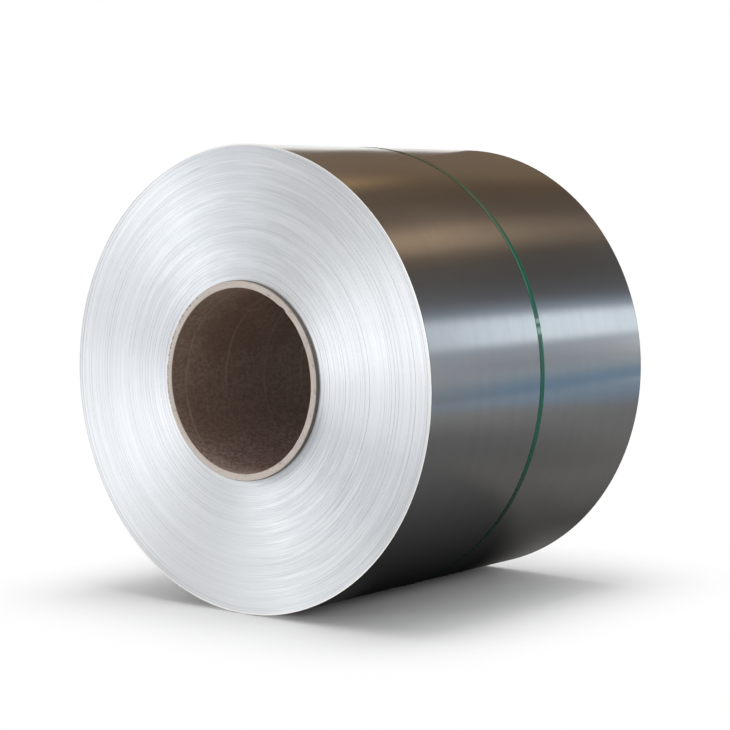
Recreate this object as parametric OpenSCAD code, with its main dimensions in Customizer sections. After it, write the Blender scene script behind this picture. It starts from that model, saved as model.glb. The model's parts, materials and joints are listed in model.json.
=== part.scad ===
// Coil of cold-rolled nickel alloy strip, lying on its side.
//
// Strip is wound tight on a paper tube that stands a little proud of both
// ends, and one plastic strap goes round the girth at mid-width.
// The coil's axis lies along Y, with the front end towards -Y. Z is up and
// the origin is on the floor, under the middle of the coil.
// All sizes are in millimetres.

/* [Wound strip] */
// Outer diameter of the wound strip
coil_d = 1284; // [900:2:1600]
// Width of the strip, which is the length of the coil
strip_w = 1020; // [800:5:1300]
// Bands of turns that show as rings on each end
turn_bands = 30; // [8:1:40]
// How far a band of turns may stand in or out of line
turn_drift = 0.6; // [0.2:0.1:1.5]

/* [Paper core] */
// Bore of the tube, which the uncoiler's mandrel enters
bore_d = 508; // [400:1:610]
// Thickness of the tube's wall
core_wall = 20; // [10:1:30]
// How far the tube stands proud of each end
core_overhang = 14; // [5:1:30]
// Radius of the tube's worn edges
core_edge = 2; // [0.5:0.5:4]

/* [Girth strap] */
// Width of the plastic strap
strap_w = 19; // [10:1:32]
// Thickness of the plastic strap
strap_t = 0.9; // [0.5:0.1:1.2]
// How far the strap lies in front of mid-width
strap_forward = 5; // [-40:1:40]
// Lean of the strap's top away from the front end, in degrees
strap_lean = 1.3; // [-2:0.1:2]
// Length of the lap where the strap's two ends are welded
weld_l = 70; // [40:5:120]
// Where the weld lies, in degrees round from the right-hand side
weld_at = 132; // [110:1:160]

/* [Hidden] */
$fn = 180;

coil_r = coil_d / 2;
bore_r = bore_d / 2;
core_r = bore_r + core_wall;
core_l = strip_w + 2 * core_overhang;

// The coil rests on its strap, so its axis is this high.
axis_z = coil_r + strap_t;

// Bands of turns, counted outwards from the core.
band_pitch = (coil_r - core_r) / turn_bands;
// How unevenly the bands share the wound thickness, as a part of the pitch.
band_spread = 0.35;
// Half the run of the slope that leads from one band to the next.
band_slope = 0.5;

// Steps in degrees from band to band, chosen so that no rhythm shows.
width_step = 97;
drift_step = 137.5;
second_step = 61;

function band_edge(i) =
    core_r + band_pitch * (i + (i % turn_bands == 0 ? 0 : band_spread * sin(width_step * i)));

// All the turns are one width, so a band that stands out at one end is
// drawn in by as much at the other.
function band_shift(i) =
    turn_drift * (0.6 * sin(drift_step * i) + 0.4 * cos(second_step * i));

// Where a band starts and stops, clear of the slopes to its neighbours.
function band_from(i) = band_edge(i) + (i == 0 ? 0 : band_slope);
function band_to(i) = band_edge(i + 1) - (i == turn_bands - 1 ? 0 : band_slope);

// Corners of one band's edge at the end that `side` names, +1 or -1.
function band_corners(i, side) = [
    [band_from(i), side * strip_w / 2 + band_shift(i)],
    [band_to(i), side * strip_w / 2 + band_shift(i)]
];

// Both ends' outlines run outwards from the core, so the second is walked
// backwards to close the section.
top_outline = [for (i = [0 : turn_bands - 1]) each band_corners(i, 1)];
foot_outline = [for (i = [0 : turn_bands - 1]) each band_corners(i, -1)];
strip_section = concat(
    top_outline,
    [for (k = [len(foot_outline) - 1 : -1 : 0]) foot_outline[k]]
);

// Turns a piece made around Z onto its side, its +Z end to the front.
module lay_down() {
    translate([0, 0, axis_z])
        rotate([90, 0, 0])
            children();
}

// Rectangle with round corners, drawn with true arcs.
module round_corner_section(size, r) {
    translate([r, 0]) square([size.x - 2 * r, size.y]);
    translate([0, r]) square([size.x, size.y - 2 * r]);
    for (x = [r, size.x - r], y = [r, size.y - r])
        translate([x, y]) circle(r);
}

// A true tube between two radii, centred on the origin.
module ring(inner_r, outer_r, h) {
    rotate_extrude()
        translate([inner_r, -h / 2])
            square([outer_r - inner_r, h]);
}

module wound_strip() {
    color([0.80, 0.82, 0.83])
        lay_down()
            rotate_extrude()
                polygon(strip_section);
}

module paper_core() {
    color([0.60, 0.52, 0.44])
        lay_down()
            rotate_extrude()
                translate([bore_r, -core_l / 2])
                    round_corner_section([core_wall, core_l], core_edge);
}

// The strap doubles in thickness over the short arc of its weld.
module girth_strap() {
    weld_arc = weld_l / coil_r * 180 / PI;
    blank_w = strap_w + 2 * coil_d * abs(sin(strap_lean)) + 10;
    color([0.13, 0.42, 0.28])
        lay_down()
            translate([0, 0, strap_forward])
                intersection() {
                    union() {
                        ring(coil_r, axis_z, blank_w);
                        rotate([0, 0, weld_at])
                            rotate_extrude(angle = weld_arc)
                                translate([coil_r, -blank_w / 2])
                                    square([2 * strap_t, blank_w]);
                    }
                    rotate([-strap_lean, 0, 0])
                        cube([3 * coil_d, 3 * coil_d, strap_w], center = true);
                }
}

wound_strip();
paper_core();
girth_strap();
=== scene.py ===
"""Coil of cold-rolled nickel alloy strip, wound on a paper core and held by one plastic strap.

The coil lies on its side with its axis along Y and its front end towards -Y. Everything is in metres.
"""

import json
import logging
import math
from dataclasses import dataclass, field
from enum import Enum
from typing import Union

import bmesh
import bpy
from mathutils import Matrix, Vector, noise


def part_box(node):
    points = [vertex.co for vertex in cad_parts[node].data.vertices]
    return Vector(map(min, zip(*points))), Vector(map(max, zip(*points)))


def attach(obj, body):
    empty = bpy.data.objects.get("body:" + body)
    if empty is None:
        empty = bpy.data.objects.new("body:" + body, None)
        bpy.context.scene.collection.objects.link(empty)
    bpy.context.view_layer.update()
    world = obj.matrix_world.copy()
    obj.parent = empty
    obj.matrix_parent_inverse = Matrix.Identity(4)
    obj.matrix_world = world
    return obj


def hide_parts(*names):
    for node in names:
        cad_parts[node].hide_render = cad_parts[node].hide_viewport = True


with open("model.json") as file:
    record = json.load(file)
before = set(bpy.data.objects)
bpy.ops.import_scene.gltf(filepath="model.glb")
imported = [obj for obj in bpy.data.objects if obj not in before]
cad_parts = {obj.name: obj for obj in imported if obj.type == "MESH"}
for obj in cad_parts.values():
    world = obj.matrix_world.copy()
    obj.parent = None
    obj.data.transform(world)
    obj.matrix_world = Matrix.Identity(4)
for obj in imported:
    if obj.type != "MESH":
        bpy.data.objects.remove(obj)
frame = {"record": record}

log = logging.getLogger("coil")

Number = Union[float, "Wire"]
Colour = tuple[float, float, float]
Place = tuple[float, float, float]
Span = tuple[float, float]
Tones = tuple[float, float, float, float]
Spans = tuple[Span, ...]


# -- Node writing --------------------------------------------


@dataclass(frozen=True)
class Wire:
    """A node's output that can be used in sums, so that a node tree reads as a formula."""

    tree: bpy.types.NodeTree
    socket: bpy.types.NodeSocket

    def math(self, operation: str, *others: Number) -> "Wire":
        """Combines this value with others.

        Args:
            operation: the math node's operation.
            others: the node's further inputs, as numbers or wires.

        Returns:
            The result.
        """
        node = self.tree.nodes.new("ShaderNodeMath")
        node.operation = operation
        for place, value in enumerate((self, *others)):
            plug(self.tree, value, node.inputs[place])
        return Wire(self.tree, node.outputs[0])

    def __add__(self, other: Number) -> "Wire":
        """The sum of two values."""
        return self.math("ADD", other)

    def __sub__(self, other: Number) -> "Wire":
        """This value less another."""
        return self.math("SUBTRACT", other)

    def __mul__(self, other: Number) -> "Wire":
        """The product of two values."""
        return self.math("MULTIPLY", other)

    def __truediv__(self, other: Number) -> "Wire":
        """This value divided by another."""
        return self.math("DIVIDE", other)

    def ramp(self, low: Number, high: Number, start: Number = 0.0, end: Number = 1.0) -> "Wire":
        """Maps this value from one span to another, held at both ends.

        Args:
            low: the value that gives start.
            high: the value that gives end.
            start: the result at low.
            end: the result at high.

        Returns:
            The mapped value.
        """
        node = self.tree.nodes.new("ShaderNodeMapRange")
        node.interpolation_type = "SMOOTHSTEP"
        for place, value in enumerate((self, low, high, start, end)):
            plug(self.tree, value, node.inputs[place])
        return Wire(self.tree, node.outputs[0])

    def spread(self, half: float) -> "Wire":
        """Noise round 0.5, stretched so that this much to either side of it fills 0 to 1."""
        return self.ramp(0.5 - half, 0.5 + half)

    def near(self, edge: float, width: float, full: float = 0.4) -> "Wire":
        """1 next to an edge and 0 from a width away; the width's sign gives the side."""
        return self.ramp(edge + width, edge + width * full)


def plug(tree: bpy.types.NodeTree, value: object, target: bpy.types.NodeSocket) -> None:
    """Links a wire to a socket, or sets the socket to a plain value.

    Args:
        tree: the tree that the socket is in.
        value: a Wire, a number, a colour or a vector.
        target: the socket to fill.
    """
    if isinstance(value, Wire):
        tree.links.new(value.socket, target)
    elif isinstance(value, tuple) and target.type == "RGBA":
        target.default_value = (*value, 1.0)
    else:
        target.default_value = value


@dataclass(frozen=True)
class Sector:
    """A stretch round the axis in which something grows.

    It has a direction to the right and up, a span of the cosine off that direction in which it fades in,
    and what it adds at its middle.
    """

    right: float
    up: float
    fade: Span
    amount: float = 1.0


class NodeWriter:
    """Writes nodes into a tree."""

    tree: bpy.types.NodeTree

    def node(
        self, kind: str, settings: dict[str, object] | None = None, **inputs: object
    ) -> bpy.types.Node:
        """Adds a node.

        Args:
            kind: the node's type.
            settings: properties of the node itself.
            inputs: values for its sockets, with _ for a space in a socket's name.

        Returns:
            The node.
        """
        made = self.tree.nodes.new(kind)
        for key, value in (settings or {}).items():
            setattr(made, key, value)
        for key, value in inputs.items():
            plug(self.tree, value, made.inputs[key.replace("_", " ")])
        return made

    def fill(self, node: bpy.types.Node, values: dict[int, object]) -> bpy.types.Node:
        """Fills a node's sockets by number, for a node in which several share a name.

        Args:
            node: the node.
            values: what each socket takes, by its number.

        Returns:
            The same node.
        """
        for place, value in values.items():
            plug(self.tree, value, node.inputs[place])
        return node

    def out(self, node: bpy.types.Node, name: str | int = 0) -> Wire:
        """One of a node's outputs as a wire."""
        return Wire(self.tree, node.outputs[name])


class Shade(NodeWriter):
    """Writes one procedural material, on the coordinates of the whole object."""

    def __init__(self, name: str, axis_z: float) -> None:
        """Starts the material; angles and radii are measured round an axis at the given height.

        Args:
            name: the material's name.
            axis_z: height of the coil's axis.
        """
        self.material = bpy.data.materials.new(name)
        self.material.use_nodes = True
        self.tree = self.material.node_tree
        self.tree.nodes.clear()
        where = self.node("ShaderNodeTexCoord")
        apart = self.node("ShaderNodeSeparateXYZ", Vector=self.out(where, "Object"))
        self.x, self.y, z = (self.out(apart, name) for name in "XYZ")
        self.z = z - axis_z
        self.radius = (self.x * self.x + self.z * self.z).math("SQRT")
        self.cos, self.sin = self.x / self.radius, self.z / self.radius

    def vector(self, x: Number, y: Number, z: Number) -> Wire:
        """Three values as one vector."""
        return self.out(self.node("ShaderNodeCombineXYZ", X=x, Y=y, Z=z))

    def here(self) -> Wire:
        """The place itself, from the coil's axis."""
        return self.vector(self.x, self.y, self.z)

    def ringed(self, value: Wire, turning: float) -> Wire:
        """A place for noise in rings: it changes with the value, and only slowly round the axis."""
        return self.vector(value, self.cos * turning, self.sin * turning)

    def girdled(self, value: Wire, turning: float) -> Wire:
        """A place for noise drawn out round the girth: as ringed, with the value along the axis."""
        return self.vector(self.cos * turning, value, self.sin * turning)

    def sector(self, stretch: Sector) -> Wire:
        """How much a sector adds."""
        off = self.cos * stretch.right + self.sin * stretch.up
        return off.ramp(*stretch.fade) * stretch.amount

    def sectors(self, base: float, stretches: tuple[Sector, ...]) -> Wire:
        """The sum of a base value and what each sector adds.

        Args:
            base: the value that they start from.
            stretches: the sectors.

        Returns:
            The sum.
        """
        total = self.sector(stretches[0])
        for stretch in stretches[1:]:
            total = total + self.sector(stretch)
        return total + base

    def noise(self, where: Wire, scale: float = 1.0, detail: float = 2.0, rough: float = 0.5) -> Wire:
        """Smooth noise between about 0.25 and 0.75.

        Args:
            where: the vector to read it at.
            scale: its frequency.
            detail: how many finer layers it has.
            rough: the strength of the finer layers.

        Returns:
            The noise value.
        """
        made = self.node("ShaderNodeTexNoise", Vector=where, Scale=scale, Detail=detail, Roughness=rough)
        return self.out(made, 0)

    def mix(self, factor: Number, a: object, b: object, blend: str = "MIX") -> Wire:
        """Mixes two colours."""
        made = self.node("ShaderNodeMix", {"data_type": "RGBA", "blend_type": blend})
        return self.out(self.fill(made, {0: factor, 6: a, 7: b}), 2)

    def grey(self, tone: Wire) -> Wire:
        """A grey of one tone."""
        return self.vector(tone, tone, tone)

    def bump(
        self, height: Wire, depth: float, strength: Number = 1.0, under: Wire | None = None
    ) -> Wire:
        """Fine relief.

        Args:
            height: the relief's height, from 0 to 1.
            depth: what a height of 1 is, in metres.
            strength: how far it is let show.
            under: the normal of a coarser relief below this one.

        Returns:
            The bumped normal.
        """
        made = self.node("ShaderNodeBump", Height=height, Distance=depth, Strength=strength)
        if under is not None:
            plug(self.tree, under, made.inputs["Normal"])
        return self.out(made)

    def across_grain(self, x: Number, y: Number, z: Number) -> Wire:
        """The direction square to the metal's grain, in which its highlights are drawn out.

        Args:
            x: the direction's X in the object's own axes.
            y: its Y.
            z: its Z.

        Returns:
            The direction, for the shader's tangent.
        """
        turned = self.node(
            "ShaderNodeVectorTransform",
            {"vector_type": "VECTOR", "convert_from": "OBJECT", "convert_to": "WORLD"},
            Vector=self.vector(x, y, z),
        )
        return self.out(turned)

    def glow(self, colour: Wire) -> bpy.types.Material:
        """Ends the material in plain emitted light."""
        return self.surface(self.node("ShaderNodeEmission", Color=colour, Strength=1.0))

    def finish(self, **inputs: object) -> bpy.types.Material:
        """Ends the material in a Principled shader."""
        return self.surface(self.node("ShaderNodeBsdfPrincipled", **inputs))

    def surface(self, shader: bpy.types.Node) -> bpy.types.Material:
        """Makes a shader the material's surface, and gives the material back.

        Args:
            shader: the shader.

        Returns:
            The material.
        """
        output = self.node("ShaderNodeOutputMaterial")
        self.tree.links.new(shader.outputs[0], output.inputs["Surface"])
        return self.material


# -- Sizes and finishes --------------------------------------


@dataclass(frozen=True)
class CoilSizes:
    """The coil's main sizes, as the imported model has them."""

    axis_z: float
    coil_r: float
    core_r: float
    bore_r: float
    strip_w: float
    core_l: float
    strap_t: float

    @classmethod
    def measure(cls) -> "CoilSizes":
        """Reads the sizes from the frame.

        Returns:
            The sizes, in metres.
        """
        strip_low, strip_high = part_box("wound_strip")
        core_low, core_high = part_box("paper_core")
        strap_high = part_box("girth_strap")[1]
        bore = next(m for m in frame["record"]["mounts"] if m["name"] == "mandrel_bore")
        return cls(
            axis_z=bore["pos_m"][2],
            coil_r=strip_high.x,
            core_r=core_high.x,
            bore_r=bore["dims"]["r_mm"] / 1000,
            strip_w=round(strip_high.y - strip_low.y, 2),
            core_l=core_high.y - core_low.y,
            strap_t=strap_high.x - strip_high.x,
        )


@dataclass(frozen=True)
class StrapPath:
    """How the strap lies on the coil: a little forward of the middle, and leaning a little."""

    width: float = 0.019
    forward: float = 0.005
    lean_deg: float = 1.3
    weld_at_deg: float = 132.0
    weld_l: float = 0.070


@dataclass(frozen=True)
class TurnEdgeFinish:
    """The cut edges of the turns, packed side by side: bright, and brushed round the axis."""

    # The edges are mixed between these two colours by their lines and grit, and by the painted
    # highlights and painted shade.
    colour: Colour = (0.86, 0.88, 0.905)
    darker_and_shaded_colour: Colour = (0.53, 0.555, 0.58)
    tight_colour: Colour = (0.84, 0.86, 0.885)
    tight_w: float = 0.014
    rim_colour: Colour = (1.0, 0.97, 0.93)
    rim_w: float = 0.005
    rim_strength: float = 0.75
    off_centre: tuple[float, float] = (0.007, -0.005)
    wander_w: float = 0.006
    metal: float = 0.60
    # How many lines, bands of turns, grains of grit and single turns there are to a metre.
    lines_per_m: float = 480.0
    bands_per_m: float = 80.0
    grit_per_m: float = 520.0
    low_turns_per_m: float = 62.0
    high_turns_per_m: float = 50.0
    # How far each of them lightens or darkens the edges.
    base_tone: float = 0.395
    line_tone: float = 0.29
    scuff_tone: float = 0.17
    low_turn_tone: float = 0.20
    high_turn_tone: float = 0.16
    grit_tone: float = 0.30
    band_tone: float = 0.06
    brushed_band_tone: float = 0.12
    # The brushing is strongest over the top and at the lower right.
    least_brushed: float = 0.28
    brushed: tuple[Sector, ...] = (
        Sector(0.0, 1.0, (0.30, 0.85), 0.65),
        Sector(0.57, -0.82, (0.78, 0.97), 1.0),
    )
    # Painted highlights and painted shade: some stretches round the axis are brighter, and some are
    # darker.
    painted_light: tuple[Sector, ...] = (
        Sector(-0.87, -0.50, (0.60, 1.0), 0.16),
        Sector(-0.90, 0.44, (0.92, 1.0), -0.11),
        Sector(0.50, -0.87, (0.92, 1.0), 0.16),
        Sector(-0.20, 0.98, (0.96, 1.0), -0.13),
        Sector(1.0, 0.0, (0.93, 1.0), 0.20),
    )
    # Painted shade: the edges are darker at the lower right, and darkest by the core, as a painted
    # shadow of the core.
    painted_shade: Sector = Sector(0.70, -0.71, (0.76, 1.0))
    painted_shade_tone: float = 0.20
    core_shadow_tone: float = 0.45
    core_shadow_w: float = 0.045

    def make(self, sizes: CoilSizes) -> bpy.types.Material:
        """Builds the material.

        Args:
            sizes: the coil's sizes.

        Returns:
            The material.
        """
        m = Shade("cut_turn_edges", sizes.axis_z)
        # The winding wanders a little, so the lines drift slowly in radius round the end.
        wander = m.noise(m.vector(m.cos, m.sin, m.y), scale=1.3)
        drifted = m.radius + wander * self.wander_w
        lines = m.noise(m.ringed(drifted * self.lines_per_m, 2.0), rough=0.6)
        bands = m.noise(m.ringed(drifted * self.bands_per_m, 1.2))
        grit = m.noise(m.here(), scale=self.grit_per_m, detail=3.0, rough=0.8)
        strong = m.sectors(self.least_brushed, self.brushed)
        # Painted shade at the lower right, deepest by the core as a painted shadow of the core.
        painted_shade = m.sector(self.painted_shade)
        by_core = m.radius.near(sizes.core_r, self.core_shadow_w, full=2 / 9)
        painted_shade = painted_shade * (by_core * self.core_shadow_tone + self.painted_shade_tone)
        fine = (lines.spread(0.18) - 0.5) * self.line_tone + self.scuffs_and_glints(m)
        fine = (fine + self.single_turns(m, drifted)) * strong
        broad = (bands.spread(0.18) - 0.5) * (strong * self.brushed_band_tone + self.band_tone)
        bright = fine + broad + grit.spread(0.25) * self.grit_tone
        # Adds the painted highlights and painted shade round the axis, and takes off the painted shade
        # at the lower right.
        bright = bright + m.sectors(self.base_tone, self.painted_light) - painted_shade
        colour = m.mix(bright, self.darker_and_shaded_colour, self.colour)
        # The ring by the core keeps less of its own colour where the painted shade falls.
        tight = m.radius.near(sizes.core_r, self.tight_w)
        colour = m.mix(tight * (painted_shade * -1.2 + 0.7), colour, self.tight_colour)
        rim = m.radius.near(sizes.coil_r, -self.rim_w)
        colour = m.mix(rim * self.rim_strength, colour, self.rim_colour)
        relief = m.bump(bands, 0.0010, strong * 0.015 + 0.026)
        relief = m.bump(lines * 0.06 + grit * 0.94, 0.0004, strong * 0.06 + 0.09, relief)
        return m.finish(
            Base_Color=colour,
            Metallic=self.metal,
            Roughness=lines.ramp(0.25, 0.75, 0.475, 0.445),
            Anisotropic=0.85,
            Tangent=m.across_grain(m.cos, 0.0, m.sin),
            Normal=relief,
        )

    def scuffs_and_glints(self, m: Shade) -> Wire:
        """A second set of brushed lines, struck off the centre, that crosses the first at a slant.

        Args:
            m: the material that it is part of.

        Returns:
            How far they lighten or darken the edges.
        """
        right, up = m.x - self.off_centre[0], m.z - self.off_centre[1]
        off_radius = (right * right + up * up).math("SQRT")
        scuffs_and_glints = m.noise(m.ringed(off_radius * self.lines_per_m, 5.0), rough=0.6)
        return (scuffs_and_glints.spread(0.18) - 0.5) * self.scuff_tone

    def single_turns(self, m: Shade, radius: Wire) -> Wire:
        """Single turns that stand a hair back or forward here and there, as fine dark or light lines.

        Args:
            m: the material that it is part of.
            radius: the radius, with the winding's wander.

        Returns:
            How far they lighten or darken the edges.
        """
        patches = m.noise(m.girdled(m.radius * 12.0, 1.8), detail=1.0).spread(0.14)
        low = self.single_lines(m, radius * self.low_turns_per_m) * patches
        high = self.single_lines(m, radius * self.high_turns_per_m + 8.0) * (patches * -1.0 + 1.0)
        return high * self.high_turn_tone - low * self.low_turn_tone

    def single_lines(self, m: Shade, value: Wire) -> Wire:
        """1 on fine lines round the axis, about one for each step of 1 in the value, and 0 off them."""
        waves = m.noise(m.ringed(value, 0.7), detail=1.0)
        return (waves - 0.5).math("ABSOLUTE").ramp(0.030, 0.0)


@dataclass(frozen=True)
class RolledFaceFinish:
    """The strip's rolled face on the outer wrap: satin metal with its grain round the girth."""

    colour: Colour = (0.60, 0.60, 0.60)
    worn_colour: Colour = (0.565, 0.565, 0.565)
    edge_colour: Colour = (0.20, 0.20, 0.21)
    edge_w: float = 0.0022
    grain_per_m: float = 260.0
    bands_per_m: float = 22.0
    mottle_per_m: float = 38.0
    hollows_per_m: float = 3.5

    def make(self, sizes: CoilSizes) -> bpy.types.Material:
        """Builds the material.

        Args:
            sizes: the coil's sizes.

        Returns:
            The material.
        """
        m = Shade("rolled_face", sizes.axis_z)
        grain = m.noise(m.girdled(m.y * self.grain_per_m, 1.6), detail=3.0, rough=0.65)
        bands = m.noise(m.girdled(m.y * self.bands_per_m, 0.8))
        mottle = m.noise(m.here(), scale=self.mottle_per_m, detail=4.0, rough=0.6)
        tone = grain.spread(0.20) * 0.30 + bands.spread(0.15) * 0.45 + mottle.spread(0.15) * 0.25
        colour = m.mix(tone, self.worn_colour, self.colour)
        edge = m.y.math("ABSOLUTE").near(sizes.strip_w / 2, -self.edge_w, full=0.5)
        colour = m.mix(edge, colour, self.edge_colour)
        # The wrap isn't perfectly round: slow hollows bend what it mirrors.
        slow = m.vector(m.x, m.y * 0.7, m.z)
        hollows = m.noise(slow, scale=self.hollows_per_m, detail=1.0)
        relief = m.bump(hollows, 0.004, 0.12)
        relief = m.bump(mottle, 0.0006, 0.002, relief)
        relief = m.bump(grain, 0.0002, 0.002, relief)
        return m.finish(
            Base_Color=colour,
            Metallic=1.0,
            Roughness=tone.ramp(0.2, 0.8, 0.164, 0.156),
            Anisotropic=0.6,
            Tangent=m.across_grain(0.0, 1.0, 0.0),
            Normal=relief,
        )


@dataclass(frozen=True)
class CutPaperFinish:
    """The tube's sawn end: pale raw paper in fine plies, with a fuzzy edge."""

    colour: Colour = (0.625, 0.555, 0.50)
    ply_colour: Colour = (0.455, 0.39, 0.345)
    pale_colour: Colour = (0.60, 0.57, 0.54)
    stain_colour: Colour = (0.20, 0.155, 0.13)
    plies_per_m: float = 1500.0
    fibre_per_m: float = 600.0
    clouds_per_m: float = 14.0
    stains_per_m: float = 60.0
    # The outer plies are torn here and there on the left.
    torn: Sector = Sector(-0.94, 0.34, (0.70, 0.90), 0.85)
    torn_w: float = 0.010
    tears_round: float = 48.0

    def make(self, sizes: CoilSizes) -> bpy.types.Material:
        """Builds the material.

        Args:
            sizes: the coil's sizes.

        Returns:
            The material.
        """
        m = Shade("cut_paper", sizes.axis_z)
        wander = m.noise(m.vector(m.cos, m.sin, m.y), scale=2.0)
        plies = m.noise(m.ringed((m.radius + wander * 0.003) * self.plies_per_m, 3.0))
        fibre = m.noise(m.here(), scale=self.fibre_per_m, detail=3.0, rough=0.7)
        tone = plies.spread(0.15) * 0.6 + fibre.spread(0.20) * 0.4
        colour = m.mix(tone, self.ply_colour, self.colour)
        cloud = m.noise(m.here(), scale=self.clouds_per_m, detail=3.0)
        colour = m.mix(cloud.ramp(0.40, 0.70) * 0.35, colour, self.pale_colour)
        stains = m.noise(m.here(), scale=self.stains_per_m, detail=4.0, rough=0.75)
        colour = m.mix(stains.ramp(0.56, 0.72) * 0.7, colour, self.stain_colour)
        torn = m.noise(m.girdled(m.y * 2.0, self.tears_round), detail=1.0).ramp(0.50, 0.58)
        torn = torn * m.radius.near(sizes.core_r, -self.torn_w, full=0.6)
        colour = m.mix(torn * m.sector(self.torn), colour, self.stain_colour)
        relief = m.bump(plies, 0.0006, 0.35)
        relief = m.bump(fibre, 0.0004, 0.40, relief)
        return m.finish(Base_Color=colour, Roughness=0.92, Normal=relief)


@dataclass(frozen=True)
class KraftFinish:
    """The tube's kraft faces, wound in a spiral and seamed: painted shade on one side outside, and a
    lighter side in the bore.
    """

    name: str
    colour: Colour
    dark_colour: Colour
    seam_colour: Colour
    cloud_colour: Colour
    one_side_colour: Colour
    one_side_at_deg: float
    seam_pitch: float = 0.166
    seam_phase: float = 0.299
    seam_w: float = 0.007
    mottle_per_m: float = 110.0
    fibre_per_m: float = 330.0
    clouds_per_m: float = 6.5

    def make(self, sizes: CoilSizes) -> bpy.types.Material:
        """Builds the material.

        Args:
            sizes: the coil's sizes.

        Returns:
            The material.
        """
        m = Shade(self.name, sizes.axis_z)
        drawn = m.vector(m.x, m.y * 0.65, m.z)
        mottle = m.noise(drawn, scale=self.mottle_per_m, detail=4.0, rough=0.7)
        fibre = m.noise(drawn, scale=self.fibre_per_m, detail=3.0, rough=0.75)
        tone = mottle.spread(0.16) * 0.55 + fibre.spread(0.16) * 0.45
        colour = m.mix(tone, self.dark_colour, self.colour)
        slow = m.vector(m.x, m.y * 0.8, m.z * 1.6)
        cloud = m.noise(slow, scale=self.clouds_per_m, detail=3.0, rough=0.55)
        colour = m.mix(cloud.ramp(0.42, 0.66) * 0.6, colour, self.cloud_colour)
        # One side takes another colour: painted shade on the outside, and a lighter tone in the bore.
        at = math.radians(self.one_side_at_deg)
        one_side = m.sector(Sector(math.cos(at), math.sin(at), (0.20, 0.90), 0.85))
        colour = m.mix(one_side, colour, m.mix(tone, self.dark_colour, self.one_side_colour))
        seam = self.seam(m)
        faint = m.noise(m.girdled(m.y * 5.0, 1.0), scale=2.3).ramp(0.35, 0.65, 0.12, 0.50)
        colour = m.mix(seam * faint, colour, self.seam_colour)
        relief = m.bump(seam, 0.0008, 0.3)
        relief = m.bump(fibre * 0.5 + mottle * 0.5, 0.0006, 0.22, relief)
        return m.finish(Base_Color=colour, Roughness=0.78, Normal=relief)

    def seam(self, m: Shade) -> Wire:
        """1 on the seam of the spiral winding, which wobbles a little, and 0 off it.

        Args:
            m: the material that it is part of.

        Returns:
            The value.
        """
        angle = m.sin.math("ARCTAN2", m.cos) / math.tau
        wobble = m.noise(m.girdled(m.y * 2.0, 1.0), scale=1.7)
        turn = m.y / self.seam_pitch + angle + (wobble - 0.5) * 0.10 + self.seam_phase
        off_middle = (turn.math("FRACT") - 0.5).math("ABSOLUTE")
        return off_middle.ramp(0.5 - self.seam_w / self.seam_pitch, 0.5)


@dataclass(frozen=True)
class StrapFinish:
    """Green plastic strap: smooth and glossy, drawn lengthwise, with paler edges."""

    colour: Colour = (0.006, 0.088, 0.053)
    edge_colour: Colour = (0.022, 0.140, 0.088)
    top_reflection_colour: Colour = (0.060, 0.078, 0.036)
    underside_shade_colour: Colour = (0.008, 0.016, 0.014)
    glint_colour: Colour = (0.26, 0.42, 0.38)
    edge_highlight_colour: Colour = (0.085, 0.230, 0.145)
    lines_per_m: float = 700.0
    smudges_per_m: float = 30.0
    # The height of each painted glint on the right side, and how far it reaches, as sines of the angle.
    scuffs_and_glints: tuple[tuple[float, float, float], ...] = ((0.212, 0.022, 0.006), (0.253, 0.015, 0.004))

    def make(self, sizes: CoilSizes, path: StrapPath) -> bpy.types.Material:
        """Builds the material.

        Args:
            sizes: the coil's sizes.
            path: how the strap lies.

        Returns:
            The material.
        """
        m = Shade("green_strap", sizes.axis_z)
        lean = math.radians(path.lean_deg)
        off_middle = m.y + path.forward - m.z * math.tan(lean)
        across = off_middle * (math.cos(lean) / (0.5 * path.width))
        drawn = m.noise(m.ringed(off_middle * self.lines_per_m, 2.0))
        smudge = m.noise(m.here(), scale=self.smudges_per_m, detail=3.0)
        edge = across.math("ABSOLUTE").ramp(0.80, 1.0)
        colour = m.mix(edge, self.colour, self.edge_colour)
        # Painted reflection of warm light on its top, and painted shade underneath.
        colour = m.mix(m.sin.ramp(0.50, 0.74) * 0.85, colour, self.top_reflection_colour)
        colour = m.mix(m.sin.ramp(-0.10, -0.65) * 0.85, colour, self.underside_shade_colour)
        # A painted highlight runs along its front edge over the right shoulder, above two painted
        # glints.
        on_right = m.cos.ramp(0.0, 0.5) * 0.75
        edge_highlight = (across * -1.0).ramp(0.25, 0.75) * m.sin.ramp(0.28, 0.42) * m.sin.ramp(0.92, 0.70)
        colour = m.mix(edge_highlight * on_right, colour, self.edge_highlight_colour)
        first, second = (
            (m.sin - height).math("ABSOLUTE").ramp(reach, full) for height, reach, full in self.scuffs_and_glints
        )
        colour = m.mix((first + second) * on_right, colour, self.glint_colour)
        return m.finish(
            Base_Color=colour,
            Roughness=smudge.ramp(0.3, 0.7, 0.30, 0.36),
            Specular_IOR_Level=0.12,
            Coat_Weight=0.6,
            Coat_Roughness=0.06,
            Normal=m.bump(drawn, 0.0002, 0.05),
        )


# -- Mesh helpers --------------------------------------------


def mesh_object(name: str, points: list[Vector], faces: list[tuple[int, ...]]) -> bpy.types.Object:
    """Makes a mesh object at the origin and links it to the scene.

    Args:
        name: the object's name.
        points: the mesh's corners.
        faces: the corner numbers of each face.

    Returns:
        The object.
    """
    mesh = bpy.data.meshes.new(name)
    mesh.from_pydata(points, [], faces)
    mesh.update()
    made = bpy.data.objects.new(name, mesh)
    bpy.context.scene.collection.objects.link(made)
    return made


class Part(Enum):
    """Which part of a turned piece a face belongs to; each part has its own finish."""

    FRONT = 0
    OUTSIDE = 1
    BACK = 2
    INSIDE = 3


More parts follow.
